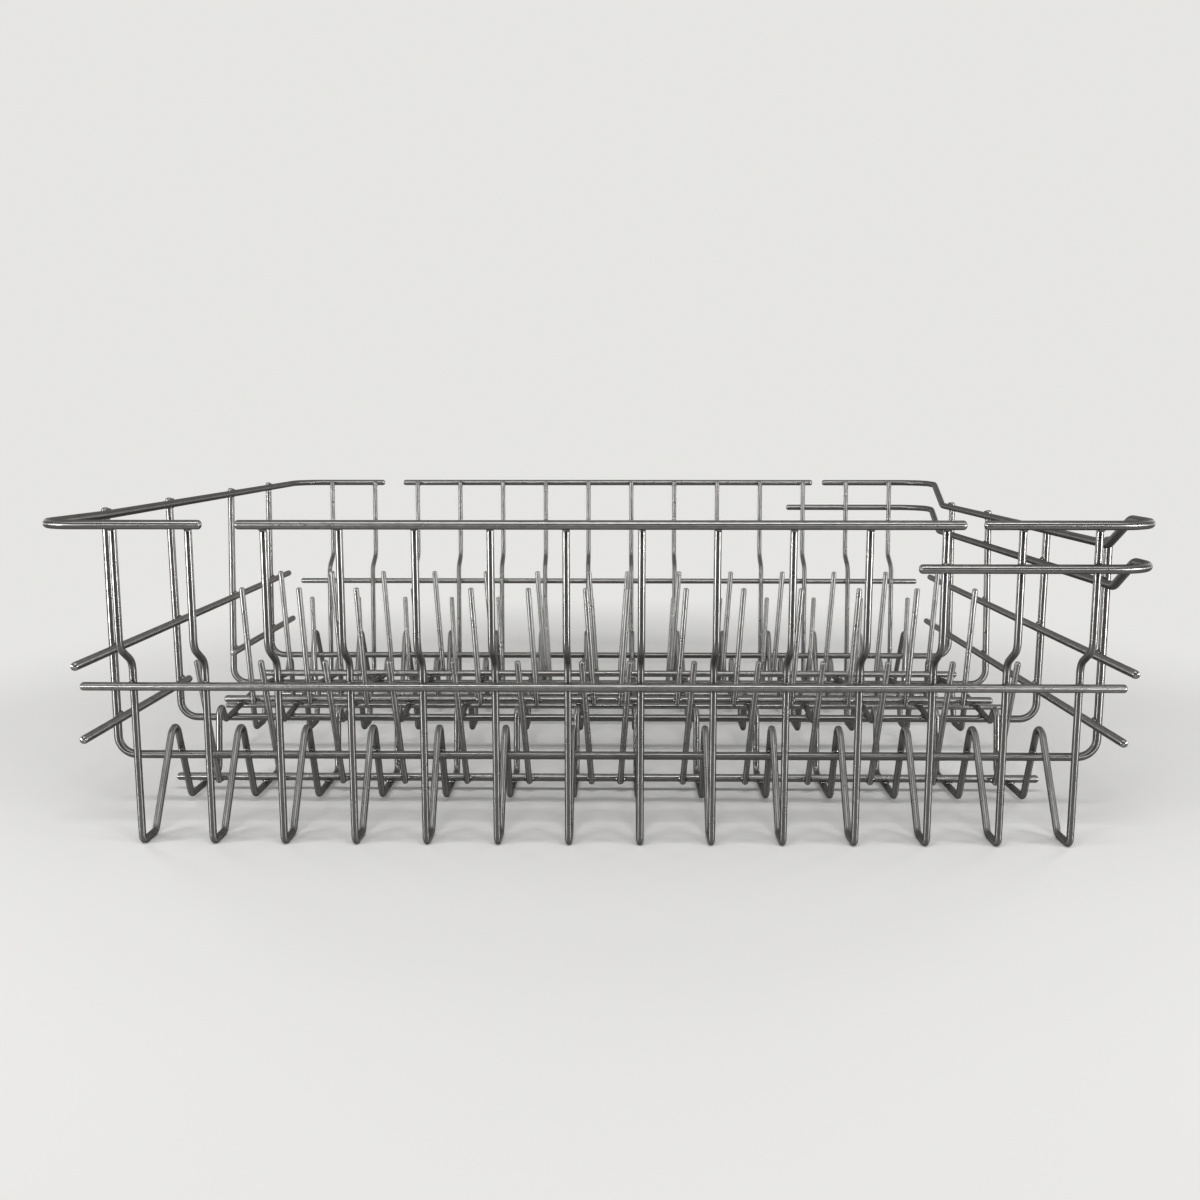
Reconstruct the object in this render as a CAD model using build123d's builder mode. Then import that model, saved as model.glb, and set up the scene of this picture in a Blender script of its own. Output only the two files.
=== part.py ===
"""Dishwasher basket: a welded basket of round wire with four rows of tines.

X runs along the two long stepped walls, Y from the near wall to the far wall and Z up.
The origin is on the ground under the middle of the basket, which stands on the feet of its wave wires.
"""
import os
from math import atan2, cos, hypot

from build123d import *

os.makedirs("parts", exist_ok=True)

# Wire diameters
wave_wire = 3.6
cradle_wire = 4.4
rim_wire = 4.5
wall_rail_wire = 4.2
side_rail_wire = 4.4
floor_wire = 3.4
carrier_wire = 4.4
tine_wire = 3.4

# Wires that are welded together touch with this much air, and a tine sinks into its carrier by the weld depth
weld_air = 0.02
tine_weld_depth = 0.3
# How much of a free end's radius is rounded off
end_round_share = 0.75

# Wave wires: one every pitch along X, each symmetric about the middle of the basket
wave_count = 14
wave_pitch = 35.3
wave_half_span = (wave_count - 1) / 2 * wave_pitch
wall_half_depth = 245.1
rim_height = 161.3
wave_above_rim = 1.4
# How far the outer bends of the half profile stand in from the top of the wall
step_upper_inset = 2.3
step_lower_inset = 18.1
foot_outer_inset = 21.9
foot_inner_inset = 40.9
first_arch_inset = 76.6
channel_inset = 99.6
step_upper_height = 102.0
step_lower_height = 93.2
first_arch_height = 55.0
channel_height = 4.4
wall_step_bend = 8.0
foot_outer_bend = 4.0
foot_inner_bend = 5.0
first_arch_bend = 7.0
channel_bend = 5.0
# Half profile from the near rim to the middle, as (distance from the middle, height, bend radius)
wave_top = (wall_half_depth, rim_height + wave_above_rim, 0)
step_upper = (wall_half_depth - step_upper_inset, step_upper_height, wall_step_bend)
step_lower = (wall_half_depth - step_lower_inset, step_lower_height, wall_step_bend)
foot_outer = (wall_half_depth - foot_outer_inset, wave_wire / 2, foot_outer_bend)
foot_inner = (wall_half_depth - foot_inner_inset, wave_wire / 2, foot_inner_bend)
first_arch = (wall_half_depth - first_arch_inset, first_arch_height, first_arch_bend)
channel_outer = (wall_half_depth - channel_inset, channel_height, channel_bend)
channel_inner_place = 93.0
channel_inner = (channel_inner_place, channel_height, channel_bend)
second_arch = (88.0, 47.5, 4.2)
plateau_outer = (76.3, 31.6, 4.0)
plateau_inner = (18.0, 36.2, 4.0)
middle_channel = (10.0, 12.0, 4.0)

# Cradle wires: wide U shapes across the floor, whose uprights are the two end walls
cradle_outset = 32.85
cradle_half_width = wave_half_span + cradle_outset
cradle_bend = 10.0
outer_cradle_height = 31.2
outer_cradle_lean = 4.5
inner_cradle_place = 57.0
inner_cradle_lean = 8.5
cradle_above_rim = 3.2

# End rims: the right end steps down between the corners, with a second rim below the first
corner_bend = 22.0
left_flare_length = 67.1
left_flare_start = left_flare_length - wall_half_depth
flare_bend = 90.0
step_bend = 12.0
rim_drop = 14.8
second_rim_below = 20.3
# How far the ends of the rims stand in from the outermost wave wires, and their steps from the walls
left_rim_inset = 42.95
centre_rim_left_inset = 58.45
centre_rim_right_inset = 62.45
right_rim_inset = 54.45
second_rim_inset = 83.65
upper_step_start_inset = 38.1
upper_step_end_inset = 67.1
second_step_start_inset = 31.1
second_step_end_inset = 57.1
left_rim_end = left_rim_inset - wave_half_span
centre_rim_start = centre_rim_left_inset - wave_half_span
centre_rim_end = wave_half_span - centre_rim_right_inset
right_rim_start = wave_half_span - right_rim_inset
second_rim_start = wave_half_span - second_rim_inset
upper_step_start = wall_half_depth - upper_step_start_inset
upper_step_end = wall_half_depth - upper_step_end_inset
second_step_start = wall_half_depth - second_step_start_inset
second_step_end = wall_half_depth - second_step_end_inset

# Straight rails on the walls: the rollers of the basket clip to the two wall rails
wall_rail_height = 81.5
wall_rail_left_reach = 24.55
wall_rail_right_reach = 21.55
wall_rail_left = -wave_half_span - wall_rail_left_reach
wall_rail_right = wave_half_span + wall_rail_right_reach
# How far the ends of the side rails stand in from the near and the far wall
left_middle_insets = (17.1, 39.1)
left_lower_insets = (24.1, 29.1)
left_lower_gap = (-53.0, 42.5)
right_middle_insets = (21.1, 31.1)
right_lower_insets = (32.1, 23.1)
left_middle_height = 90.5
left_middle_span = (left_middle_insets[0] - wall_half_depth, wall_half_depth - left_middle_insets[1])
left_lower_height = 52.5
left_lower_near_span = (left_lower_insets[0] - wall_half_depth, left_lower_gap[0])
left_lower_far_span = (left_lower_gap[1], wall_half_depth - left_lower_insets[1])
right_middle_height = 87.0
right_middle_span = (right_middle_insets[0] - wall_half_depth, wall_half_depth - right_middle_insets[1])
right_lower_height = 50.3
right_lower_span = (right_lower_insets[0] - wall_half_depth, wall_half_depth - right_lower_insets[1])

# Floor wires under the two plateaus
floor_wire_place = 33.0
floor_wire_left_reach = 12.55
floor_wire_right_reach = 23.55
floor_wire_left = -wave_half_span - floor_wire_left_reach
floor_wire_right = wave_half_span + floor_wire_right_reach

# Tine combs: each tine stands beside a wave wire, nearer the middle, and leans back over it
outer_comb_offset = 2.25
outer_comb_reach = 15.55
outer_comb_place = (channel_outer[0] + channel_inner[0]) / 2 + outer_comb_offset
outer_comb_half_length = wave_half_span + outer_comb_reach
outer_tine_top = 79.0
outer_tine_lean = 17.0
inner_comb_place = 45.0
inner_comb_reach = 9.55
inner_comb_half_length = wave_half_span + inner_comb_reach
inner_tine_top = 108.5
tine_beside_wave = 9.6
tine_lean_along = 5.2
tine_below_carrier = 2.9

wave_places = [i * wave_pitch - wave_half_span for i in range(wave_count)]
half_profile = [
    wave_top, step_upper, step_lower, foot_outer, foot_inner, first_arch,
    channel_outer, channel_inner, second_arch, plateau_outer, plateau_inner, middle_channel,
]


def height_between(start, end, place):
    """Height of the straight run from one profile point to the next, at a distance from the middle."""
    share = (place - start[0]) / (end[0] - start[0])
    return start[1] + share * (end[1] - start[1])


def place_between(start, end, height):
    """Distance from the middle of the run from one profile point to the next, at a height."""
    share = (height - start[1]) / (end[1] - start[1])
    return start[0] + share * (end[0] - start[0])


def wall_slope(start, end):
    """Cosine of how far a run leans from the vertical."""
    return cos(atan2(abs(end[0] - start[0]), abs(end[1] - start[1])))


def beside(start, end, height, wire):
    """Distance from the middle at which a wire touches the outside of a leaning run of a wave wire."""
    touching = (wave_wire + wire) / 2 + weld_air
    return place_between(start, end, height) + touching / wall_slope(start, end)


def above_plateau(place, wire, side):
    """Height of a wire that touches the plateau from above (side 1) or from below (side -1)."""
    slope = atan2(plateau_inner[1] - plateau_outer[1], plateau_outer[0] - plateau_inner[0])
    touching = (wave_wire + wire) / 2 + weld_air
    return height_between(plateau_outer, plateau_inner, place) + side * touching / cos(slope)


def save(part, name):
    """Label a finished piece and write it."""
    part.label = name
    export_step(part, f"parts/{name}.step")


def bent_wire(points, radii, diameter):
    """A round wire along straight runs joined by bends, with both free ends rounded."""
    with BuildPart() as wire:
        with BuildLine() as route:
            FilletPolyline(*points, radius=radii)
        with BuildSketch(Plane(origin=route.line @ 0, z_dir=route.line % 0)):
            Circle(diameter / 2)
        sweep(path=route.line)
        fillet(wire.faces().filter_by(GeomType.PLANE).edges(), diameter / 2 * end_round_share)
    return wire.part


def straight_wire(start, end, diameter):
    """A straight round wire with both ends rounded."""
    with BuildPart() as wire:
        with BuildLine() as route:
            Line(start, end)
        with BuildSketch(Plane(origin=start, z_dir=route.line % 0)):
            Circle(diameter / 2)
        sweep(path=route.line)
        fillet(wire.faces().filter_by(GeomType.PLANE).edges(), diameter / 2 * end_round_share)
    return wire.part


# Wave wires, numbered from the left
profile = [(-place, height) for place, height, bend in half_profile]
profile += [(place, height) for place, height, bend in reversed(half_profile)]
bends = [bend for place, height, bend in half_profile[1:]]
bends += reversed(bends)
for number, x in enumerate(wave_places, 1):
    wave = bent_wire([(x, y, z) for y, z in profile], bends, wave_wire)
    save(wave, f"wave_wire_{number:02d}")

# Cradle wires: the outer pair lies inside the first arches, the inner pair under the plateaus
arch_leg = atan2(first_arch[0] - channel_outer[0], first_arch[1] - channel_outer[1])
arch_clear = ((wave_wire + cradle_wire) / 2 + weld_air) / cos(arch_leg)
outer_cradle_place = place_between(first_arch, channel_outer, outer_cradle_height) + arch_clear
inner_cradle_height = above_plateau(inner_cradle_place, cradle_wire, -1)
left_top = rim_height + cradle_above_rim
right_top = rim_height - rim_drop + cradle_above_rim
cradles = {
    "outer": (outer_cradle_place, outer_cradle_height, outer_cradle_lean),
    "inner": (inner_cradle_place, inner_cradle_height, inner_cradle_lean),
}
for name, (place, z, lean) in cradles.items():
    lean_slope = lean / (left_top - z)
    right_lean = lean_slope * (right_top - z)
    for side_name, side in (("near", -1), ("far", 1)):
        corners = [
            (-cradle_half_width, side * (place + lean), left_top),
            (-cradle_half_width, side * place, z),
            (cradle_half_width, side * place, z),
            (cradle_half_width, side * (place + right_lean), right_top),
        ]
        cradle = bent_wire(corners, [cradle_bend] * 2, cradle_wire)
        save(cradle, f"cradle_wire_{name}_{side_name}")

# Rims: outside the wave wires on the near and far walls, inside the cradle wires on the end walls.
# The left rim's near corner flares out until it is flush with the outside of the cradle wires.
rim_x = cradle_half_width - (cradle_wire + rim_wire) / 2 - weld_air
rim_y = beside(wave_top, step_upper, rim_height, rim_wire)
left_corner_x = cradle_half_width + (cradle_wire - rim_wire) / 2
second_height = rim_height - second_rim_below
second_y = beside(wave_top, step_upper, second_height, rim_wire)

left_route = [
    (left_rim_end, -rim_y, rim_height),
    (-left_corner_x, -rim_y, rim_height),
    (-rim_x, left_flare_start, rim_height),
    (-rim_x, rim_y, rim_height),
    (left_rim_end, rim_y, rim_height),
]
save(bent_wire(left_route, [corner_bend, flare_bend, corner_bend], rim_wire), "rim_left_end")


def stepped_rim(start_x, y, height, step_start, step_end):
    """An end rim that steps down between its two corners."""
    near_half = [
        (start_x, -y, height),
        (rim_x, -y, height),
        (rim_x, -step_start, height),
        (rim_x, -step_end, height - rim_drop),
    ]
    far_half = [(px, -py, pz) for px, py, pz in reversed(near_half)]
    radii = [corner_bend, step_bend, step_bend, step_bend, step_bend, corner_bend]
    return bent_wire(near_half + far_half, radii, rim_wire)


upper_rim = stepped_rim(right_rim_start, rim_y, rim_height, upper_step_start, upper_step_end)
save(upper_rim, "rim_right_end_upper")
lower_rim = stepped_rim(second_rim_start, second_y, second_height, second_step_start, second_step_end)
save(lower_rim, "rim_right_end_lower")

for name, side in (("near", -1), ("far", 1)):
    rim_start = (centre_rim_start, side * rim_y, rim_height)
    rim_end = (centre_rim_end, side * rim_y, rim_height)
    save(straight_wire(rim_start, rim_end, rim_wire), f"rim_{name}_centre")

# Wall rails outside the near and far walls, under the step
rail_y = beside(step_lower, foot_outer, wall_rail_height, wall_rail_wire)
for name, side in (("near", -1), ("far", 1)):
    rail_start = (wall_rail_left, side * rail_y, wall_rail_height)
    rail_end = (wall_rail_right, side * rail_y, wall_rail_height)
    save(straight_wire(rail_start, rail_end, wall_rail_wire), f"wall_rail_{name}")

# Side rails inside the uprights of the cradle wires
side_x = cradle_half_width - (cradle_wire + side_rail_wire) / 2 - weld_air
side_rails = {
    "side_rail_left_middle": (-side_x, left_middle_height, left_middle_span),
    "side_rail_left_lower_near": (-side_x, left_lower_height, left_lower_near_span),
    "side_rail_left_lower_far": (-side_x, left_lower_height, left_lower_far_span),
    "side_rail_right_middle": (side_x, right_middle_height, right_middle_span),
    "side_rail_right_lower": (side_x, right_lower_height, right_lower_span),
}
for name, (x, z, (near_end, far_end)) in side_rails.items():
    save(straight_wire((x, near_end, z), (x, far_end, z), side_rail_wire), name)

# Floor wires under the plateaus
floor_z = above_plateau(floor_wire_place, floor_wire, -1)
for name, side in (("near", -1), ("far", 1)):
    floor_start = (floor_wire_left, side * floor_wire_place, floor_z)
    floor_end = (floor_wire_right, side * floor_wire_place, floor_z)
    save(straight_wire(floor_start, floor_end, floor_wire), f"floor_wire_{name}")

# Tine combs: the tines are welded to the outer side of their carrier
tine_beside_carrier = (carrier_wire + tine_wire) / 2 - tine_weld_depth
outer_carrier_z = channel_outer[1] + (wave_wire + carrier_wire) / 2 + weld_air
inner_carrier_z = above_plateau(inner_comb_place, carrier_wire, 1)


def tine_comb(side, place, half_length, carrier_z, top, lean):
    """A carrier wire along X with one tine beside each wave wire, leaning outwards by lean at its tip."""
    with BuildPart() as comb:
        with BuildSketch(Plane(origin=(-half_length, side * place, carrier_z), z_dir=(1, 0, 0))):
            Circle(carrier_wire / 2)
        extrude(amount=2 * half_length)
        fillet(comb.faces().filter_by(GeomType.PLANE).edges(), carrier_wire / 2 * end_round_share)
        foot_z = carrier_z - tine_below_carrier
        slope = lean / (top - foot_z)
        foot_place = place + tine_beside_carrier * hypot(1, slope) - slope * tine_below_carrier
        for x in wave_places:
            inward = -1 if x > 0 else 1
            foot = Vector(x + inward * tine_beside_wave, side * foot_place, foot_z)
            tip = Vector(foot.X - inward * tine_lean_along, side * (foot_place + lean), top)
            with BuildSketch(Plane(origin=foot, z_dir=tip - foot)):
                Circle(tine_wire / 2)
            extrude(amount=(tip - foot).length)
        tips = comb.faces().filter_by(GeomType.PLANE).sort_by(Axis.Z)[-wave_count:]
        fillet(tips.edges(), tine_wire / 2 * end_round_share)
    return comb.part


for name, side in (("near", -1), ("far", 1)):
    outer_comb = tine_comb(
        side, outer_comb_place, outer_comb_half_length, outer_carrier_z, outer_tine_top, outer_tine_lean
    )
    save(outer_comb, f"tine_comb_outer_{name}")
    inner_comb = tine_comb(
        side, inner_comb_place, inner_comb_half_length, inner_carrier_z, inner_tine_top, 0
    )
    save(inner_comb, f"tine_comb_inner_{name}")
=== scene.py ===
"""Dresses a welded wire basket for a dishwasher: plated wires, weld nuggets and a plain stage."""

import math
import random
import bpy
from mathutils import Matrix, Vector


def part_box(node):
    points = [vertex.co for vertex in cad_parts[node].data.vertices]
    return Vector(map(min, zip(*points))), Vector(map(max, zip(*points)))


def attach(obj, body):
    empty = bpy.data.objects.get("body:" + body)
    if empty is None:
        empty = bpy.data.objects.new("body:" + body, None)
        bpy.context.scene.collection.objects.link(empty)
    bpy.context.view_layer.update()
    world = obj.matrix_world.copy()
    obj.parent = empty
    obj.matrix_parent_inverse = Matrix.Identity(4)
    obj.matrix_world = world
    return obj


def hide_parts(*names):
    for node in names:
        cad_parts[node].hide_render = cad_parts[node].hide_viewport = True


bl_info = {
    "name": "Wire Dish Basket",
    "version": (1, 0, 0),
    "blender": (4, 5, 0),
    "location": "View3D > Sidebar > Basket",
    "description": "Builds the plated wires, tine combs and welds of a dishwasher basket",
    "category": "Object",
}

import bmesh
import bpy
import numpy as np
from bpy.props import FloatProperty, FloatVectorProperty, IntProperty, PointerProperty
from mathutils import Quaternion, Vector

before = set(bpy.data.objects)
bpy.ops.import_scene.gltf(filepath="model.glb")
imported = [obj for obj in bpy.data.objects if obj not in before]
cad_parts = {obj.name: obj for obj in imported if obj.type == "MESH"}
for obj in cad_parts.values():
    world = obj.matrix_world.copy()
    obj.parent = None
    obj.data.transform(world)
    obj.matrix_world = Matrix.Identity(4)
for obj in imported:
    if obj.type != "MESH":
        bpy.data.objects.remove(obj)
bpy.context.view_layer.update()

BODY = "root"
MM = 0.001

# Fineness of the meshes
DOME_STEPS = 5
NUGGET_ROWS = 8
NUGGET_SIDES = 16
FLOOR_SIDES = 96

# Crown of a free end, in radii of its flat, and reach of the rubbing there, in radii of the wire
CROWN_SHARE = 0.12
RUB_REACH = 2.2

# Strength of the two lobes and the three lobes in a nugget's outline
TWO_LOBES = 0.6
THREE_LOBES = 0.5

# Seed of the nuggets' unevenness, and the squared sine below which two runs count as parallel
WELD_SEED = 7
PARALLEL = 1e-12

# Width of the camera's sensor in millimetres, and the nearest distance that it sees in metres
SENSOR_WIDTH = 36.0
CLIP_START = 0.01


def length(name, description, default):
    """A length that is written in millimetres and kept in metres."""
    return FloatProperty(
        name=name, description=description, default=default * MM, min=0.0, unit="LENGTH", precision=4
    )


def ratio(name, description, default):
    """A size that is written as a multiple of another one."""
    return FloatProperty(name=name, description=description, default=default, min=0.2)


def grain(name, description, default):
    """The scale of a fine pattern, in spots to a metre."""
    return FloatProperty(name=name, description=description, default=default, min=0.0)


def position(name, description, default):
    """Three lengths in metres, such as a place on the stage."""
    return FloatVectorProperty(
        name=name, description=description, default=default, size=3, unit="LENGTH", precision=4
    )


def lamp_face(name, description, default):
    """The width and height of a softbox, in metres."""
    return FloatVectorProperty(
        name=name, description=description, default=default, size=2, min=0.0, unit="LENGTH", precision=4
    )


def corner(name, description, place, height, bend):
    """A corner of the wave profile: its distance from the middle, its height and its bend radius."""
    return position(name, description, (place * MM, height * MM, bend * MM))


def share(name, description, default):
    """A number from 0 to 1."""
    return FloatProperty(
        name=name, description=description, default=default, min=0.0, max=1.0, subtype="FACTOR"
    )


def colour(name, description, default):
    """A linear colour."""
    return FloatVectorProperty(
        name=name, description=description, default=default, size=3, min=0.0, max=1.0, subtype="COLOR"
    )


def power(name, description, default):
    """The power of a lamp."""
    return FloatProperty(name=name, description=description, default=default, min=0.0, unit="POWER")


class WaveProfile(bpy.types.PropertyGroup):
    """Half of the profile that every wave wire is bent to, from the rim to the middle."""

    top: corner("Top", "Where the wire ends behind the rim", 245.1, 162.7, 0.0)
    step_upper: corner("Step, upper bend", "Where the wall starts to step in", 242.8, 102.0, 8.0)
    step_lower: corner("Step, lower bend", "Where the wall is upright again", 227.0, 93.2, 8.0)
    foot_outer: corner("Foot, outer bend", "Outer end of the foot", 223.2, 1.8, 4.0)
    foot_inner: corner("Foot, inner bend", "Inner end of the foot", 204.2, 1.8, 5.0)
    first_arch: corner("First arch", "Peak beside the foot", 168.5, 55.0, 7.0)
    channel_outer: corner("Channel, outer bend", "Outer end of the channel floor", 145.5, 4.4, 5.0)
    channel_inner: corner("Channel, inner bend", "Inner end of the channel floor", 93.0, 4.4, 5.0)
    second_arch: corner("Second arch", "Peak beside the plateau", 88.0, 47.5, 4.2)
    plateau_outer: corner("Plateau, outer bend", "Outer end of the plateau", 76.3, 31.6, 4.0)
    plateau_inner: corner("Plateau, inner bend", "Inner end of the plateau", 18.0, 36.2, 4.0)
    middle: corner("Middle channel", "Bottom bend of the middle channel", 10.0, 12.0, 4.0)


class WireSizes(bpy.types.PropertyGroup):
    """Diameters and bends of the basket's wires."""

    wave: length("Wave wire", "Diameter of the wires that form floor and walls", 3.6)
    cradle: length("Cradle wire", "Diameter of the wide U wires under the floor", 4.4)
    rim: length("Rim wire", "Diameter of the rims", 4.5)
    carrier: length("Carrier wire", "Diameter of the wires that carry the tines", 4.4)
    tine: length("Tine wire", "Diameter of the tines", 3.4)
    cradle_bend: length("Cradle bend", "Bend radius where a cradle wire turns up", 10.0)
    corner_bend: length("Rim corner bend", "Bend radius of the rims at the basket's corners", 22.0)
    left_corner_out: length("Flared corner reach", "How far the drawn corner stands out past the solid", 4.4)
    left_corner_bend: length("Flared corner bend", "Bend radius of the left rim's flared near corner", 16.0)
    flare_bend: length("Flare bend", "Bend radius where the left rim starts to flare", 90.0)
    step_bend: length("Rim step bend", "Bend radius where the right rims step down", 12.0)
    rim_drop: length("Rim drop", "How far the right rims step down", 14.8)
    flare_start: length("Flare start", "Distance of the left rim's flare from the middle", 178.0)
    upper_step_start: length("Upper step start", "Distance from the middle where the upper rim steps", 207.0)
    upper_step_end: length("Upper step end", "Distance from the middle where the upper step ends", 178.0)
    lower_step_start: length("Lower step start", "Distance from the middle where the lower rim steps", 214.0)
    lower_step_end: length("Lower step end", "Distance from the middle where the lower step ends", 188.0)
    outer_comb: length("Outer comb", "Distance of the outer combs from the middle", 121.5)
    inner_comb: length("Inner comb", "Distance of the inner combs from the middle", 45.0)
    outer_lean: length("Outer tine lean", "How far the tip of an outer tine leans towards the wall", 17.0)
    tine_beside: length("Tine beside wave", "Distance from a wave wire to its tine, along the carrier", 9.6)
    tine_back: length("Tine lean back", "How far a tine's tip leans back over its wave wire", 5.2)
    tine_below: length("Tine foot", "How far a tine reaches below the middle of its carrier", 2.9)
    tine_sink: length("Tine weld depth", "How far a tine is pressed into its carrier", 0.3)
    weld_air: length("Weld air", "Air between welded wires, which the nuggets fill", 0.02)
    end_round: share("End rounding", "Share of the radius that is rounded off at a free end", 0.75)
    sides: IntProperty(name="Sides", description="Faces around a wire", default=24, min=8, max=48)
    turn_steps: IntProperty(name="Bend steps", description="Faces along a quarter turn", default=12, min=4)


class WeldSizes(bpy.types.PropertyGroup):
    """Size of the weld nuggets, in radii of the thinner wire, and where they are put."""

    spread: ratio("Spread", "Reach of a nugget along the wires", 1.3)
    height: ratio("Height", "Half height of a nugget between the wires", 0.62)
    tine_spread: ratio("Tine spread", "Reach of a tine's nugget on its carrier", 1.7)
    unevenness: share("Unevenness", "How much nuggets differ in size and outline", 0.1)
    gap: length("Largest gap", "Wires closer than this are welded", 0.15)
    overlap: length("Largest overlap", "Wires that run further into each other are not welded", 0.7)


class PlatingLook(bpy.types.PropertyGroup):
    """The polished dark silver plating."""

    base: colour("Plating", "Colour of the plating", (0.125, 0.123, 0.121))
    pale: colour("Pale patches", "Colour where the plating is a little brighter", (0.145, 0.1425, 0.14))
    rubbed: colour("Rubbed ends", "Colour of ends that dishes have polished", (0.26, 0.255, 0.25))
    weld: colour("Weld", "Colour of the weld nuggets under the plating", (0.15, 0.147, 0.144))
    metallic: share("Metallic", "How metallic the plating is", 1.0)
    roughness: share("Roughness", "Roughness of the plating", 0.28)
    stretch: share("Stretch", "How far highlights stretch along a wire, from its fine rings", 0.95)
    weld_roughness: share("Weld roughness", "Roughness of the plating over the welds", 0.16)
    edge: colour("Edge tint", "Tint of the plating where it is seen edge on", (0.42, 0.412, 0.404))
    least_roughness: ratio("Least roughness", "Roughness of the glossiest spots, times the roughness", 0.96)
    most_roughness: ratio("Most roughness", "Roughness of the dullest spots, times the roughness", 1.06)
    flakes: share("Flakes", "How much paler the fine flakes are", 0.05)
    ripple: share("Ripple", "Strength of the plating's fine ripple", 0.003)
    ripple_depth: length("Ripple depth", "Depth of the ripple at full strength", 0.4)
    patch_grain: grain("Patch grain", "Scale of the brighter patches", 45.0)
    flake_grain: grain("Flake grain", "Scale of the fine flakes", 2600.0)
    rub_grain: grain("Rub grain", "Scale of the unevenness of the rubbed ends", 380.0)
    gloss_grain: grain("Gloss grain", "Scale of the glossier and duller spots", 170.0)
    ripple_grain: grain("Ripple grain", "Scale of the ripple", 520.0)


class StageLook(bpy.types.PropertyGroup):
    """Floor, background, lamps and camera."""

    floor: colour("Floor", "Colour of the floor", (0.8, 0.795, 0.78))
    floor_radius: length("Floor radius", "Radius of the round floor", 6000.0)
    floor_roughness: share("Floor roughness", "Roughness of the matt floor", 0.9)
    fade_start: length("Fade start", "Distance from the middle where the floor starts to fade", 360.0)
    fade_end: length("Fade end", "Distance from the middle where only the background is seen", 780.0)
    background: colour("Background", "Colour behind the basket", (0.79, 0.785, 0.77))
    screen: colour("Dark screen", "Colour of the card and mat on the camera's side", (0.03, 0.03, 0.03))
    screen_half_width: length("Screen half width", "Half the width of the dark screen and mat", 780.0)
    screen_near: length("Mat start", "Distance of the dark mat's edge from the middle", 540.0)
    screen_far: length("Screen distance", "Distance of the dark screen from the middle", 1500.0)
    screen_height: length("Screen height", "Height of the dark screen", 1250.0)
    mat_lift: length("Mat lift", "Height of the dark mat above the floor", 1.0)
    ambient: share("Ambient", "Strength of the even light from all round", 0.12)
    key_power: power("Overhead softbox", "Power of the softbox above the camera", 18.5)
    key_place: position("Overhead softbox place", "Where the overhead softbox hangs", (0.0, -1.25, 1.45))
    key_face: lamp_face("Overhead softbox face", "Width and height of the overhead softbox", (1.3, 0.32))
    left_power: power("Left softbox", "Power of the low softbox on the left", 14.0)
    right_power: power("Right softbox", "Power of the low softbox on the right", 13.2)
    side_place: position("Side place", "Where the right one stands; the left mirrors it", (1.0, -0.72, 0.12))
    side_face: lamp_face("Side softbox face", "Width and height of each low softbox", (0.32, 0.22))
    back_power: power("Back softboxes", "Power of each of the two softboxes behind the basket", 5.0)
    back_place: position("Back place", "Where the right one stands; the left mirrors it", (1.0, 0.6, 0.35))
    back_face: lamp_face("Back softbox face", "Width and height of each back softbox", (0.35, 0.6))
    aim_height: length("Lamp aim", "Height above the floor of the spot that the lamps point at", 80.0)
    camera_place: position("Camera", "Where the camera stands", (0.0063, -0.8712, 0.2052))
    camera_aim: FloatVectorProperty(
        name="Camera aim", description="Direction that the camera looks in", subtype="DIRECTION",
        default=(-0.0129, 0.992, -0.1256), precision=4,
    )
    camera_lens: FloatProperty(
        name="Lens", description="Focal length in millimetres", default=40.5, min=1.0, unit="CAMERA"
    )


# Routes: every wire is a list of corner points with a bend radius at each inner one


class Wire:
    """One round wire: the CAD node it stands for, its kind, corner points, bend radii and diameter."""

    def __init__(self, node, kind, points, bends, diameter):
        self.node = node
        self.kind = kind
        self.points = [Vector(p) for p in points]
        self.bends = list(bends)
        self.radius = diameter / 2


def wave_corners(profile):
    """Half profile of a wave wire, from the rim to the middle."""
    return [
        profile.top, profile.step_upper, profile.step_lower, profile.foot_outer, profile.foot_inner,
        profile.first_arch, profile.channel_outer, profile.channel_inner, profile.second_arch,
        profile.plateau_outer, profile.plateau_inner, profile.middle,
    ]


def node_names(start):
    """The CAD nodes whose names start with a word, in order."""
    names = sorted(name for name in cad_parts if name.startswith(start))
    if not names:
        raise RuntimeError(f"the frame has no node whose name starts with {start}")
    return names


def wave_wires(scene):
    """The wires that form the floor and the two stepped walls."""
    half = wave_corners(scene.basket_profile)
    bends = [bend for place, height, bend in half[1:]]
    wires = []
    for node in node_names("wave_wire"):
        low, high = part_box(node)
        x = (low.x + high.x) / 2
        near = [(x, -place, height) for place, height, bend in half]
        far = [(x, place, height) for place, height, bend in reversed(half)]
        wires.append(Wire(node, "wave", near + far, bends + bends[::-1], scene.basket_wires.wave))
    return wires


def cradle_wires(scene):
    """The wide U wires whose uprights are the end walls."""
    sizes = scene.basket_wires
    radius = sizes.cradle / 2
    wires = []
    for node in node_names("cradle_wire"):
        low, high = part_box(node)
        side = 1 if low.y > 0 else -1
        inner = low.y + radius if side > 0 else high.y - radius
        outer = high.y - radius if side > 0 else low.y + radius
        floor_z = low.z + radius
        slope = (outer - inner) / (high.z - floor_z)
        right_top = high.z - sizes.rim_drop
        corners = [
            (low.x + radius, outer, high.z),
            (low.x + radius, inner, floor_z),
            (high.x - radius, inner, floor_z),
            (high.x - radius, inner + slope * (right_top - floor_z), right_top),
        ]
        wires.append(Wire(node, "cradle", corners, [sizes.cradle_bend] * 2, sizes.cradle))
    return wires


def straight_wire(node, kind):
    """A straight wire along the longest side of its node's box."""
    low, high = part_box(node)
    span = high - low
    axis = max(range(3), key=lambda i: span[i])
    start = (low + high) / 2
    end = start.copy()
    start[axis] = low[axis]
    end[axis] = high[axis]
    return Wire(node, kind, (start, end), (), min(span))


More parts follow.
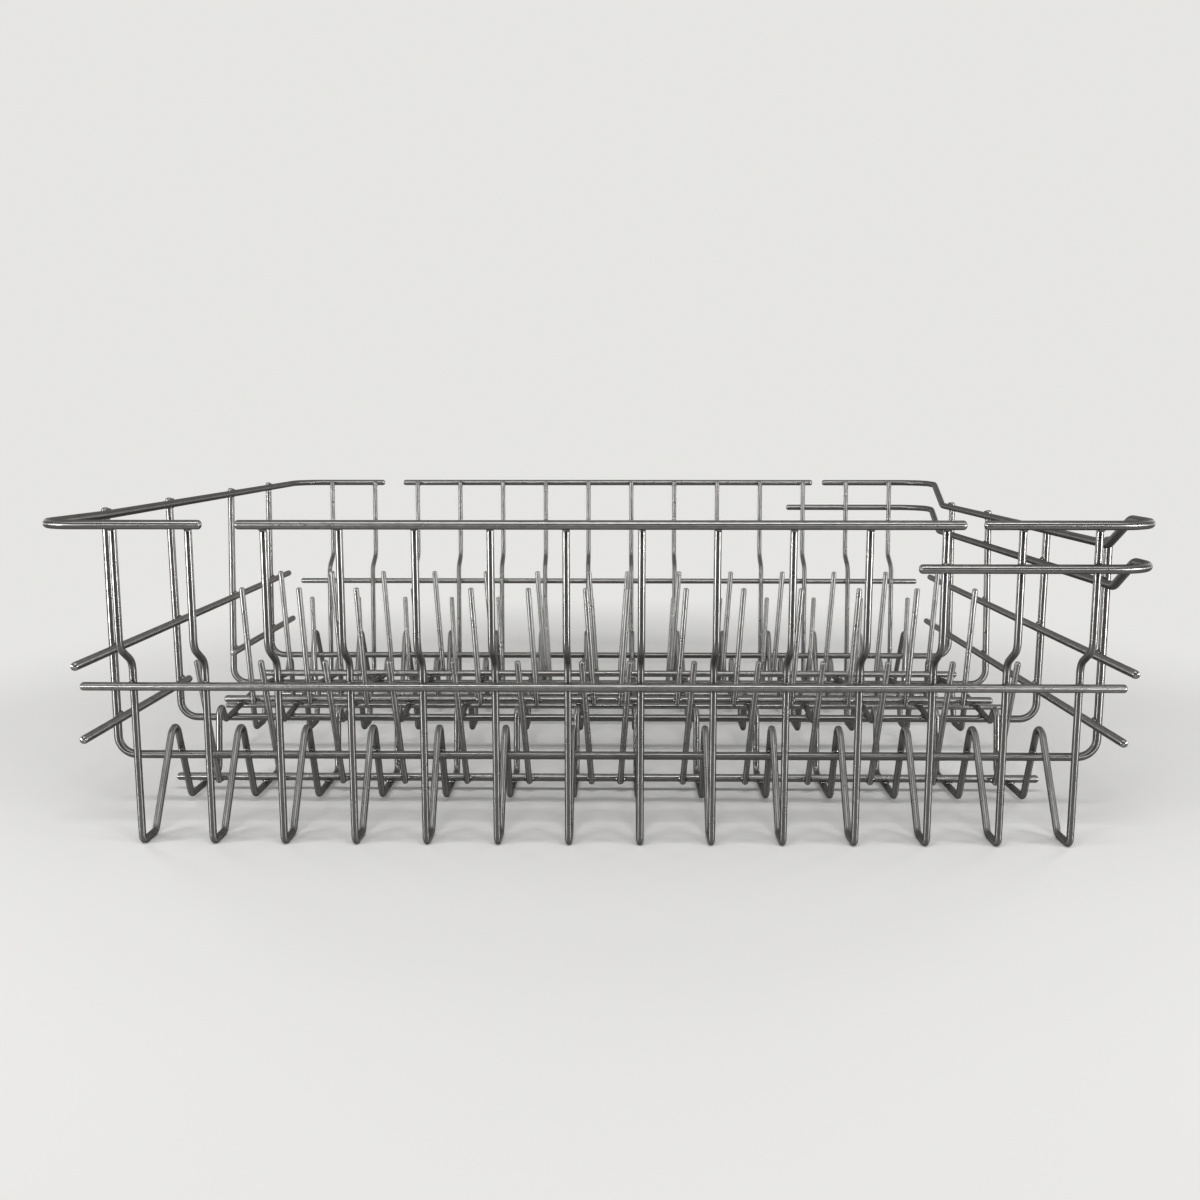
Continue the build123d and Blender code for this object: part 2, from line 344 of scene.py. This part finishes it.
def rails():
    """Wall rails outside the long walls and side rails inside the end walls."""
    return [straight_wire(node, "rail") for node in node_names("wall_rail") + node_names("side_rail")]


def floor_wires():
    """The two thin wires under the plateaus."""
    return [straight_wire(node, "floor") for node in node_names("floor_wire")]


def stepped_rim(scene, node, step_start, step_end):
    """A right end rim that steps down between its two corners."""
    sizes = scene.basket_wires
    low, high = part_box(node)
    radius = sizes.rim / 2
    x = high.x - radius
    y = high.y - radius
    top = high.z - radius
    near = [(low.x, -y, top), (x, -y, top), (x, -step_start, top), (x, -step_end, top - sizes.rim_drop)]
    far = [(px, -py, pz) for px, py, pz in reversed(near)]
    steps = [sizes.step_bend] * 4
    return Wire(node, "rim", near + far, [sizes.corner_bend, *steps, sizes.corner_bend], sizes.rim)


def rims(scene):
    """The left rim with its flared near corner, the two centre rims and the two stepped right rims."""
    sizes = scene.basket_wires
    radius = sizes.rim / 2
    low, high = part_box("rim_left_end")
    cradle_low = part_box("cradle_wire_inner_near")[0]
    end_x = cradle_low.x + sizes.cradle + sizes.weld_air + radius
    flared_x = low.x + radius - sizes.left_corner_out
    y = high.y - radius
    z = (low.z + high.z) / 2
    corners = [
        (high.x, -y, z), (flared_x, -y, z), (end_x, -sizes.flare_start, z), (end_x, y, z), (high.x, y, z),
    ]
    bends = [sizes.left_corner_bend, sizes.flare_bend, sizes.corner_bend]
    return [
        Wire("rim_left_end", "rim", corners, bends, sizes.rim),
        straight_wire("rim_near_centre", "rim"),
        straight_wire("rim_far_centre", "rim"),
        stepped_rim(scene, "rim_right_end_upper", sizes.upper_step_start, sizes.upper_step_end),
        stepped_rim(scene, "rim_right_end_lower", sizes.lower_step_start, sizes.lower_step_end),
    ]


def tine_comb(scene, node):
    """A carrier wire and the tines that are welded to its outer side, one beside every wave wire."""
    sizes = scene.basket_wires
    low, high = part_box(node)
    side = 1 if low.y > 0 else -1
    outer = "outer" in node
    place = sizes.outer_comb if outer else sizes.inner_comb
    touching = (sizes.wave + sizes.carrier) / 2 + sizes.weld_air
    if outer:
        carrier_z = scene.basket_profile.channel_outer[1] + touching
    else:
        outer_end, inner_end = scene.basket_profile.plateau_outer, scene.basket_profile.plateau_inner
        rise = (inner_end[1] - outer_end[1]) / (outer_end[0] - inner_end[0])
        carrier_z = outer_end[1] + rise * (outer_end[0] - place) + touching * math.hypot(1, rise)
    ends = ((low.x, side * place, carrier_z), (high.x, side * place, carrier_z))
    carrier = Wire(node, "carrier", ends, (), sizes.carrier)
    foot_z = carrier_z - sizes.tine_below
    lean = sizes.outer_lean if outer else 0.0
    slope = lean / (high.z - foot_z)
    beside = (sizes.carrier + sizes.tine) / 2 - sizes.tine_sink
    foot_place = place + beside * math.hypot(1, slope) - slope * sizes.tine_below
    wires = [carrier]
    for wave in node_names("wave_wire"):
        wave_low, wave_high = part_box(wave)
        x = (wave_low.x + wave_high.x) / 2
        inward = -1 if x > 0 else 1
        foot_x = x + inward * sizes.tine_beside
        foot = (foot_x, side * foot_place, foot_z)
        tip = (foot_x - inward * sizes.tine_back, side * (foot_place + lean), high.z)
        wires.append(Wire(node, "tine", (foot, tip), (), sizes.tine))
    return wires


def all_wires(scene):
    """Every wire of the basket."""
    wires = wave_wires(scene) + cradle_wires(scene) + rims(scene) + rails() + floor_wires()
    for node in node_names("tine_comb"):
        wires += tine_comb(scene, node)
    return wires


# Wire meshes


def rounded_route(points, bends, turn_step):
    """Places and directions along a route whose corners are rounded to their bend radii."""
    first = (points[1] - points[0]).normalized()
    last = (points[-1] - points[-2]).normalized()
    route = [(points[0], first)]
    for before, here, after, bend in zip(points, points[1:], points[2:], bends):
        back = (before - here).normalized()
        on = (after - here).normalized()
        opening = back.angle(on)
        turn = math.pi - opening
        start = here + back * (bend / math.tan(opening / 2))
        centre = here + (back + on).normalized() * (bend / math.sin(opening / 2))
        axis = back.cross(on).normalized() * -1
        steps = max(2, math.ceil(turn / turn_step))
        for step in range(steps + 1):
            swing = Quaternion(axis, turn * step / steps)
            route.append((centre + swing @ (start - centre), swing @ -back))
    route.append((points[-1], last))
    return route


def domed_sections(route, radius, end_round):
    """Sections along a route as (place, direction, radius), with both free ends rounded."""
    dome = radius * end_round
    sections = []
    place, direction = route[0]
    for step in range(DOME_STEPS + 1):
        swing = math.pi / 2 * (1 - step / DOME_STEPS)
        spot = place + direction * dome * (1 - math.sin(swing))
        sections.append((spot, direction, radius - dome * (1 - math.cos(swing))))
    sections += [(p, d, radius) for p, d in route[1:-1]]
    place, direction = route[-1]
    for step in range(DOME_STEPS + 1):
        swing = math.pi / 2 * step / DOME_STEPS
        spot = place - direction * dome * (1 - math.sin(swing))
        sections.append((spot, direction, radius - dome * (1 - math.cos(swing))))
    return sections


def cap_end(bm, layer, ring, section, sign, along):
    """Closes the start (-1) or the end (1) of a wire with a low crown."""
    place, outward, radius = section
    sides = len(ring)
    crown = bm.verts.new(place + outward * sign * radius * CROWN_SHARE)
    for k in range(sides):
        j = (k + 1) % sides
        face = bm.faces.new((ring[j], ring[k], crown) if sign < 0 else (ring[k], ring[j], crown))
        for loop, (far, turned) in zip(face.loops, ((0, 0), (0, 1), (1, 0.5))):
            loop[layer].uv = (along + sign * far * radius, (k + turned) / sides)


def skin_wire(bm, wear, wire, sizes):
    """Adds one wire to a mesh as rings of quads, and notes how near each vertex is to a free end."""
    turn_step = math.pi / 2 / sizes.turn_steps
    route = rounded_route(wire.points, wire.bends, turn_step)
    sections = domed_sections(route, wire.radius, sizes.end_round)
    ends = (wire.points[0], wire.points[-1])
    layer = bm.loops.layers.uv.verify()
    run = [0.0]
    for (place, _, _), (following, _, _) in zip(sections, sections[1:]):
        run.append(run[-1] + (following - place).length)
    direction = sections[0][1]
    across = direction.orthogonal().normalized()
    rings = []
    for place, new_direction, radius in sections:
        across = direction.rotation_difference(new_direction) @ across
        direction = new_direction
        up = direction.cross(across).normalized()
        ring = []
        for k in range(sizes.sides):
            angle = 2 * math.pi * k / sizes.sides
            spot = place + (across * math.cos(angle) + up * math.sin(angle)) * radius
            ring.append(bm.verts.new(spot))
            wear.append(math.exp(-min((spot - end).length for end in ends) / (RUB_REACH * wire.radius)))
        rings.append(ring)
    for row, (ring, following) in enumerate(zip(rings, rings[1:])):
        for k in range(sizes.sides):
            j = (k + 1) % sizes.sides
            face = bm.faces.new((ring[k], ring[j], following[j], following[k]))
            for loop, (far, turned) in zip(face.loops, ((0, 0), (0, 1), (1, 1), (1, 0))):
                loop[layer].uv = (run[row + far], (k + turned) / sizes.sides)
    cap_end(bm, layer, rings[0], sections[0], -1, run[0])
    cap_end(bm, layer, rings[-1], sections[-1], 1, run[-1])
    wear += [1.0, 1.0]


def finish_mesh(name, bm, wear, material):
    """Turns a bmesh into a smooth object that rides on the basket and carries its finish."""
    mesh = bpy.data.meshes.new(name)
    bm.to_mesh(mesh)
    bm.free()
    mesh.shade_smooth()
    attribute = mesh.attributes.new("end_wear", "FLOAT", "POINT")
    attribute.data.foreach_set("value", wear)
    mesh.materials.append(material)
    obj = bpy.data.objects.new(name, mesh)
    bpy.context.scene.collection.objects.link(obj)
    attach(obj, BODY)
    return obj


def build_wires(context, node, wires):
    """Builds the wires of one CAD node as one piece and puts it in the node's place."""
    bm = bmesh.new()
    wear = []
    for wire in wires:
        skin_wire(bm, wear, wire, context.scene.basket_wires)
    obj = finish_mesh(f"plated_{node}", bm, wear, plating_material(context.scene.basket_plating))
    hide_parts(node)
    return obj


# Welds


def straight_runs(wires):
    """Straight runs of every wire, as arrays of starts, ends, radii and the wire's number."""
    starts, ends, radii, owners = [], [], [], []
    for number, wire in enumerate(wires):
        for start, end in zip(wire.points, wire.points[1:]):
            starts.append(start)
            ends.append(end)
            radii.append(wire.radius)
            owners.append(number)
    return np.array(starts), np.array(ends), np.array(radii), np.array(owners)


def find_welds(scene):
    """Every place where two wires touch, as (place, normal, direction, direction, wire, wire)."""
    welds = scene.basket_welds
    wires = all_wires(scene)
    starts, ends, radii, owners = straight_runs(wires)
    directions = ends - starts
    found = []
    for i in range(len(starts)):
        later = np.nonzero(owners > owners[i])[0]
        if not len(later):
            continue
        u, v = directions[i], directions[later]
        offset = starts[i] - starts[later]
        uu, uv, vv = u @ u, v @ u, np.einsum("ij,ij->i", v, v)
        uo, vo = offset @ u, np.einsum("ij,ij->i", v, offset)
        flat = uu * vv - uv * uv
        flat = np.where(flat < PARALLEL * uu * vv, np.nan, flat)
        s = (uv * vo - vv * uo) / flat
        t = (uu * vo - uv * uo) / flat
        here = starts[i] + s[:, None] * u
        there = starts[later] + t[:, None] * v
        gap = np.linalg.norm(there - here, axis=1) - radii[i] - radii[later]
        touching = (s >= 0) & (s <= 1) & (t >= 0) & (t <= 1) & (gap < welds.gap) & (gap > -welds.overlap)
        for k in np.nonzero(touching)[0]:
            normal = Vector(there[k] - here[k]).normalized()
            place = Vector(here[k]) + normal * (radii[i] + gap[k] / 2)
            first, second = wires[owners[i]], wires[owners[later[k]]]
            found.append((place, normal, Vector(u).normalized(), Vector(v[k]).normalized(), first, second))
    return found


def add_nugget(bm, wear, place, normal, along, reach, rng, unevenness):
    """Adds one weld nugget: a lumpy lens squeezed out between two wires."""
    rows, sides = NUGGET_ROWS, NUGGET_SIDES
    side = normal.cross(along).normalized()
    along = side.cross(normal)
    phases = [rng.uniform(0, 2 * math.pi) for _ in range(3)]
    sizes = [r * rng.uniform(1 - unevenness, 1 + unevenness) for r in reach]

    def spot(row, k):
        tilt = math.pi * (row / rows - 0.5)
        angle = 2 * math.pi * k / sides
        lump = 1 + unevenness * math.cos(tilt) * (
            math.sin(2 * angle + phases[0]) * TWO_LOBES + math.sin(3 * angle + phases[1]) * THREE_LOBES
        )
        return place + (
            along * (sizes[0] * math.cos(tilt) * math.cos(angle) * lump)
            + side * (sizes[1] * math.cos(tilt) * math.sin(angle) * lump)
            + normal * (sizes[2] * math.sin(tilt))
        )

    low = bm.verts.new(spot(0, 0))
    rings = [[bm.verts.new(spot(row, k)) for k in range(sides)] for row in range(1, rows)]
    high = bm.verts.new(spot(rows, 0))
    wear += [0.0] * (2 + sides * (rows - 1))
    for k in range(sides):
        j = (k + 1) % sides
        bm.faces.new((rings[0][j], rings[0][k], low))
        bm.faces.new((rings[-1][k], rings[-1][j], high))
        for ring, above in zip(rings, rings[1:]):
            bm.faces.new((ring[k], ring[j], above[j], above[k]))


def back_from_ends(place, wire, direction, reach):
    """How far a weld has to move along a wire so that it doesn't stick out past a free end."""
    for end in (wire.points[0], wire.points[-1]):
        ahead = (end - place).dot(direction)
        if (end - place).length < 2 * reach and abs(ahead) < reach:
            return direction * -math.copysign(reach - abs(ahead), ahead)
    return Vector()


def weld_group(first, second):
    """Name of the piece that a weld belongs to."""
    kinds = {first.kind, second.kind}
    if "tine" in kinds:
        return "welds_tines"
    if "carrier" in kinds:
        return "welds_carriers"
    if "rim" in kinds:
        return "welds_rims"
    if "rail" in kinds:
        return "welds_rails"
    return "welds_floor"


# Materials


def plating_material(look, weld=False):
    """Polished dark silver plating with brighter patches, fine flakes, a slight ripple and rubbed ends."""
    name = "weld_plating" if weld else "dark_silver_plating"
    if name in bpy.data.materials:
        return bpy.data.materials[name]
    material = bpy.data.materials.new(name)
    material.use_nodes = True
    nodes, links = material.node_tree.nodes, material.node_tree.links
    shader = nodes["Principled BSDF"]
    shader.inputs["Metallic"].default_value = look.metallic
    shader.inputs["Specular Tint"].default_value = (*look.edge, 1.0)
    place = nodes.new("ShaderNodeTexCoord").outputs["Object"]

    def noise(scale, detail):
        node = nodes.new("ShaderNodeTexNoise")
        node.inputs["Scale"].default_value = scale
        node.inputs["Detail"].default_value = detail
        links.new(place, node.inputs["Vector"])
        return node.outputs["Fac"]

    def spread(value, start, stop, low=0.0, high=1.0):
        node = nodes.new("ShaderNodeMapRange")
        links.new(value, node.inputs["Value"])
        for socket, number in zip(("From Min", "From Max", "To Min", "To Max"), (start, stop, low, high)):
            node.inputs[socket].default_value = number
        return node.outputs["Result"]

    def mix(factor, first, second):
        node = nodes.new("ShaderNodeMix")
        node.data_type = "RGBA"
        links.new(factor, node.inputs["Factor"])
        for socket, value in (("A", first), ("B", second)):
            target = next(i for i in node.inputs if i.name == socket and i.type == "RGBA")
            if isinstance(value, bpy.types.NodeSocket):
                links.new(value, target)
            else:
                target.default_value = (*value, 1.0)
        return next(o for o in node.outputs if o.type == "RGBA")

    patches = spread(noise(look.patch_grain, detail=3.0), start=0.35, stop=0.68)
    body = mix(patches, look.weld if weld else look.base, look.pale)
    flakes = spread(noise(look.flake_grain, detail=1.0), start=0.62, stop=0.74, high=look.flakes)
    body = mix(flakes, body, look.rubbed)
    wear = nodes.new("ShaderNodeAttribute")
    wear.attribute_name = "end_wear"
    rubbed = nodes.new("ShaderNodeMath")
    rubbed.operation = "MULTIPLY"
    links.new(wear.outputs["Fac"], rubbed.inputs[0])
    uneven = spread(noise(look.rub_grain, detail=2.0), start=0.3, stop=0.7, low=0.35)
    links.new(uneven, rubbed.inputs[1])
    links.new(mix(rubbed.outputs["Value"], body, look.rubbed), shader.inputs["Base Color"])
    if not weld:
        shader.inputs["Anisotropic"].default_value = look.stretch
        along = nodes.new("ShaderNodeTangent")
        along.direction_type = "UV_MAP"
        links.new(along.outputs["Tangent"], shader.inputs["Tangent"])
    rough = look.weld_roughness if weld else look.roughness
    least, most = rough * look.least_roughness, rough * look.most_roughness
    gloss = spread(noise(look.gloss_grain, detail=4.0), start=0.3, stop=0.7, low=least, high=most)
    links.new(gloss, shader.inputs["Roughness"])
    bump = nodes.new("ShaderNodeBump")
    bump.inputs["Strength"].default_value = look.ripple
    bump.inputs["Distance"].default_value = look.ripple_depth
    links.new(noise(look.ripple_grain, detail=2.0), bump.inputs["Height"])
    links.new(bump.outputs["Normal"], shader.inputs["Normal"])
    return material


def seen_by_eye(nodes, links):
    """1 for rays from the camera, from gloss and through glass, 0 for the light that falls on things."""
    path = nodes.new("ShaderNodeLightPath")
    total = path.outputs["Is Camera Ray"]
    for name in ("Is Glossy Ray", "Is Transmission Ray"):
        add = nodes.new("ShaderNodeMath")
        add.operation = "MAXIMUM"
        links.new(total, add.inputs[0])
        links.new(path.outputs[name], add.inputs[1])
        total = add.outputs["Value"]
    return total


def floor_material(look):
    """Pale floor that fades into the background far from the basket."""
    material = bpy.data.materials.new("pale_floor")
    material.use_nodes = True
    nodes, links = material.node_tree.nodes, material.node_tree.links
    shader = nodes["Principled BSDF"]
    shader.inputs["Base Color"].default_value = (*look.floor, 1.0)
    shader.inputs["Roughness"].default_value = look.floor_roughness
    shader.inputs["Specular IOR Level"].default_value = 0.0
    distance = nodes.new("ShaderNodeVectorMath")
    distance.operation = "LENGTH"
    links.new(nodes.new("ShaderNodeTexCoord").outputs["Object"], distance.inputs[0])
    fade = nodes.new("ShaderNodeMapRange")
    fade.interpolation_type = "SMOOTHSTEP"
    fade.inputs["From Min"].default_value = look.fade_start
    fade.inputs["From Max"].default_value = look.fade_end
    links.new(distance.outputs["Value"], fade.inputs["Value"])
    glow = nodes.new("ShaderNodeEmission")
    glow.inputs["Color"].default_value = (*look.background, 1.0)
    away = nodes.new("ShaderNodeMath")
    away.operation = "MULTIPLY"
    links.new(fade.outputs["Result"], away.inputs[0])
    links.new(seen_by_eye(nodes, links), away.inputs[1])
    mixed = nodes.new("ShaderNodeMixShader")
    links.new(away.outputs["Value"], mixed.inputs["Fac"])
    links.new(shader.outputs["BSDF"], mixed.inputs[1])
    links.new(glow.outputs["Emission"], mixed.inputs[2])
    links.new(mixed.outputs["Shader"], nodes["Material Output"].inputs["Surface"])
    return material


# Operators


class BASKET_OT_wave_wires(bpy.types.Operator):
    """Build the wave wires that form the floor and the stepped walls"""

    bl_idname = "basket.wave_wires"
    bl_label = "Wave Wires"

    def execute(self, context):
        for wire in wave_wires(context.scene):
            build_wires(context, wire.node, [wire])
        return {"FINISHED"}


class BASKET_OT_cradle_wires(bpy.types.Operator):
    """Build the wide U wires under the floor"""

    bl_idname = "basket.cradle_wires"
    bl_label = "Cradle Wires"

    def execute(self, context):
        for wire in cradle_wires(context.scene):
            build_wires(context, wire.node, [wire])
        return {"FINISHED"}


class BASKET_OT_rims(bpy.types.Operator):
    """Build the left, centre and right rims"""

    bl_idname = "basket.rims"
    bl_label = "Rims"

    def execute(self, context):
        for wire in rims(context.scene):
            build_wires(context, wire.node, [wire])
        return {"FINISHED"}


class BASKET_OT_rails(bpy.types.Operator):
    """Build the wall rails, the side rails and the floor wires"""

    bl_idname = "basket.rails"
    bl_label = "Rails and Floor Wires"

    def execute(self, context):
        for wire in rails() + floor_wires():
            build_wires(context, wire.node, [wire])
        return {"FINISHED"}


class BASKET_OT_tine_combs(bpy.types.Operator):
    """Build the four combs of tines"""

    bl_idname = "basket.tine_combs"
    bl_label = "Tine Combs"

    def execute(self, context):
        for node in node_names("tine_comb"):
            build_wires(context, node, tine_comb(context.scene, node))
        return {"FINISHED"}


class BASKET_OT_welds(bpy.types.Operator):
    """Add a weld nugget wherever two wires touch"""

    bl_idname = "basket.welds"
    bl_label = "Welds"

    def execute(self, context):
        sizes = context.scene.basket_welds
        rng = random.Random(WELD_SEED)
        groups = {}
        for place, normal, along, across, first, second in find_welds(context.scene):
            thin = min(first.radius, second.radius)
            reach = [thin * sizes.spread, thin * sizes.spread, thin * sizes.height]
            group = weld_group(first, second)
            if group == "welds_tines":
                reach[0] = thin * sizes.tine_spread
                along = along if first.kind == "carrier" else across
            else:
                place = place + back_from_ends(place, first, along, reach[0])
                place = place + back_from_ends(place, second, across, reach[1])
            bm, wear = groups.setdefault(group, (bmesh.new(), []))
            add_nugget(bm, wear, place, normal, along, reach, rng, sizes.unevenness)
        if not groups:
            raise RuntimeError("no two wires touch, so there is nothing to weld")
        for name in sorted(groups):
            bm, wear = groups[name]
            finish_mesh(name, bm, wear, plating_material(context.scene.basket_plating, weld=True))
        return {"FINISHED"}


class BASKET_OT_stage(bpy.types.Operator):
    """Add the pale floor, the softboxes, the background and the camera"""

    bl_idname = "basket.stage"
    bl_label = "Stage"

    def execute(self, context):
        scene = context.scene
        look = scene.basket_stage
        scene.view_settings.view_transform = "Standard"
        bm = bmesh.new()
        bmesh.ops.create_circle(bm, cap_ends=True, segments=FLOOR_SIDES, radius=look.floor_radius)
        mesh = bpy.data.meshes.new("floor")
        bm.to_mesh(mesh)
        bm.free()
        mesh.materials.append(floor_material(look))
        floor = bpy.data.objects.new("floor", mesh)
        scene.collection.objects.link(floor)
        self.light_world(scene, look)
        mirror = Vector((-1.0, 1.0, 1.0))
        side, back = Vector(look.side_place), Vector(look.back_place)
        self.softbox(scene, "softbox_overhead", Vector(look.key_place), look.key_face, look.key_power)
        self.softbox(scene, "softbox_left", side * mirror, look.side_face, look.left_power)
        self.softbox(scene, "softbox_right", side, look.side_face, look.right_power)
        self.softbox(scene, "softbox_back_left", back * mirror, look.back_face, look.back_power)
        self.softbox(scene, "softbox_back_right", back, look.back_face, look.back_power)
        half, top = look.screen_half_width, look.screen_height
        near, far = -look.screen_near, -look.screen_far
        lift = look.mat_lift
        mat = [(-half, near, lift), (-half, far, lift), (half, far, lift), (half, near, lift)]
        screen = [(-half, far, 0.0), (-half, far, top), (half, far, top), (half, far, 0.0)]
        self.dark_card(scene, "dark_mat", mat, look.screen)
        self.dark_card(scene, "dark_screen", screen, look.screen)
        camera = bpy.data.cameras.new("photo_camera")
        camera.lens = look.camera_lens
        camera.sensor_width = SENSOR_WIDTH
        camera.clip_start = CLIP_START
        holder = bpy.data.objects.new("photo_camera", camera)
        holder.location = look.camera_place
        holder.rotation_mode = "QUATERNION"
        holder.rotation_quaternion = Vector(look.camera_aim).to_track_quat("-Z", "Y")
        scene.collection.objects.link(holder)
        scene.camera = holder
        return {"FINISHED"}

    def light_world(self, scene, look):
        """A world that shows the pale background and gives a little even light."""
        world = bpy.data.worlds.new("studio")
        world.use_nodes = True
        nodes, links = world.node_tree.nodes, world.node_tree.links
        seen = nodes["Background"]
        seen.inputs["Color"].default_value = (*look.background, 1.0)
        ambient = nodes.new("ShaderNodeBackground")
        ambient.inputs["Color"].default_value = (1.0, 1.0, 1.0, 1.0)
        ambient.inputs["Strength"].default_value = look.ambient
        mixed = nodes.new("ShaderNodeMixShader")
        links.new(seen_by_eye(nodes, links), mixed.inputs["Fac"])
        links.new(ambient.outputs["Background"], mixed.inputs[1])
        links.new(seen.outputs["Background"], mixed.inputs[2])
        links.new(mixed.outputs["Shader"], nodes["World Output"].inputs["Surface"])
        scene.world = world

    def dark_card(self, scene, name, corners, tone):
        """A dark card on the camera's side, which only the gloss of the wires shows."""
        material = bpy.data.materials.get("dark_card") or bpy.data.materials.new("dark_card")
        material.use_nodes = True
        shader = material.node_tree.nodes["Principled BSDF"]
        shader.inputs["Base Color"].default_value = (*tone, 1.0)
        shader.inputs["Roughness"].default_value = 1.0
        mesh = bpy.data.meshes.new(name)
        mesh.from_pydata(corners, [], [(0, 1, 2, 3)])
        mesh.materials.append(material)
        card = bpy.data.objects.new(name, mesh)
        card.visible_camera = False
        card.visible_diffuse = False
        card.visible_shadow = False
        scene.collection.objects.link(card)

    def softbox(self, scene, name, place, face, power):
        """A soft rectangular lamp that points at the basket."""
        light = bpy.data.lights.new(name, "AREA")
        light.shape = "RECTANGLE"
        light.size, light.size_y = face
        light.energy = power
        obj = bpy.data.objects.new(name, light)
        obj.location = place
        obj.rotation_mode = "QUATERNION"
        aim = Vector((0.0, 0.0, scene.basket_stage.aim_height))
        obj.rotation_quaternion = (aim - place).to_track_quat("-Z", "Y")
        obj.visible_camera = False
        scene.collection.objects.link(obj)


class BASKET_PT_panel(bpy.types.Panel):
    """Lists the steps that build the basket"""

    bl_idname = "BASKET_PT_panel"
    bl_label = "Dish Basket"
    bl_space_type = "VIEW_3D"
    bl_region_type = "UI"
    bl_category = "Basket"

    def draw(self, context):
        for operator in OPERATORS:
            self.layout.operator(operator.bl_idname)
        for name in GROUPS:
            group = getattr(context.scene, name)
            column = self.layout.column()
            for key in group.__annotations__:
                column.prop(group, key)


OPERATORS = (
    BASKET_OT_wave_wires,
    BASKET_OT_cradle_wires,
    BASKET_OT_rims,
    BASKET_OT_rails,
    BASKET_OT_tine_combs,
    BASKET_OT_welds,
    BASKET_OT_stage,
)
GROUPS = {
    "basket_profile": WaveProfile,
    "basket_wires": WireSizes,
    "basket_welds": WeldSizes,
    "basket_plating": PlatingLook,
    "basket_stage": StageLook,
}


def register():
    """Registers the sizes, the looks, the operators and the panel."""
    for group in GROUPS.values():
        bpy.utils.register_class(group)
    for name, group in GROUPS.items():
        setattr(bpy.types.Scene, name, PointerProperty(type=group))
    for cls in (*OPERATORS, BASKET_PT_panel):
        bpy.utils.register_class(cls)


def unregister():
    """Takes away what register added."""
    for cls in (BASKET_PT_panel, *reversed(OPERATORS)):
        bpy.utils.unregister_class(cls)
    for name, group in GROUPS.items():
        delattr(bpy.types.Scene, name)
        bpy.utils.unregister_class(group)


def main():
    """Builds the basket and its stage."""
    register()
    bpy.ops.basket.wave_wires()
    bpy.ops.basket.cradle_wires()
    bpy.ops.basket.rims()
    bpy.ops.basket.rails()
    bpy.ops.basket.tine_combs()
    bpy.ops.basket.welds()
    bpy.ops.basket.stage()


if __name__ == "__main__":
    main()
